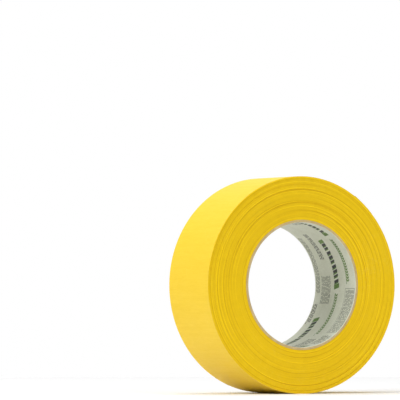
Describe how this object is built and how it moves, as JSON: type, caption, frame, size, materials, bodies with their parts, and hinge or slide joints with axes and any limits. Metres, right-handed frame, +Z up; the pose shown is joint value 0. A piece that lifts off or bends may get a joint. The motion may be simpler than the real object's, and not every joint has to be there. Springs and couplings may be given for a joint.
{
  "type": "masking tape roll",
  "caption": "Roll of yellow crepe-paper masking tape wound on a spiral-wound paperboard core with a printed paper liner; its free end peels up.",
  "frame": {"origin": "centre of the core's bore, on the axis midway between the two side faces", "axes": "Y along the roll's axis with the front face towards -Y, Z up as the roll stands on its rim"},
  "size_m": [0.1334, 0.048, 0.1334],
  "materials": {
    "liner_paper": "matte",
    "core_board": "matte",
    "yellow_tape": "matte",
    "crepe_backing": "matte",
    "adhesive_film": "satin"
  },
  "bodies": {
    "roll": {"printed_liner": "liner_paper", "inner_board_ply": "core_board", "middle_board_ply": "core_board", "outer_board_ply": "core_board", "wound_tape": "yellow_tape", "outer_lap_backing": "crepe_backing", "outer_lap_adhesive": "adhesive_film"},
    "free_end": {"free_end_backing": "crepe_backing", "free_end_adhesive": "adhesive_film"}
  },
  "joints": [
    {"name": "free_end_peel", "type": "hinge", "parent": "roll", "child": "free_end", "pos_m": [0.05124, 0, 0.04299], "axis": [0, 1, 0], "range_deg": [0, 150]}
  ]
}
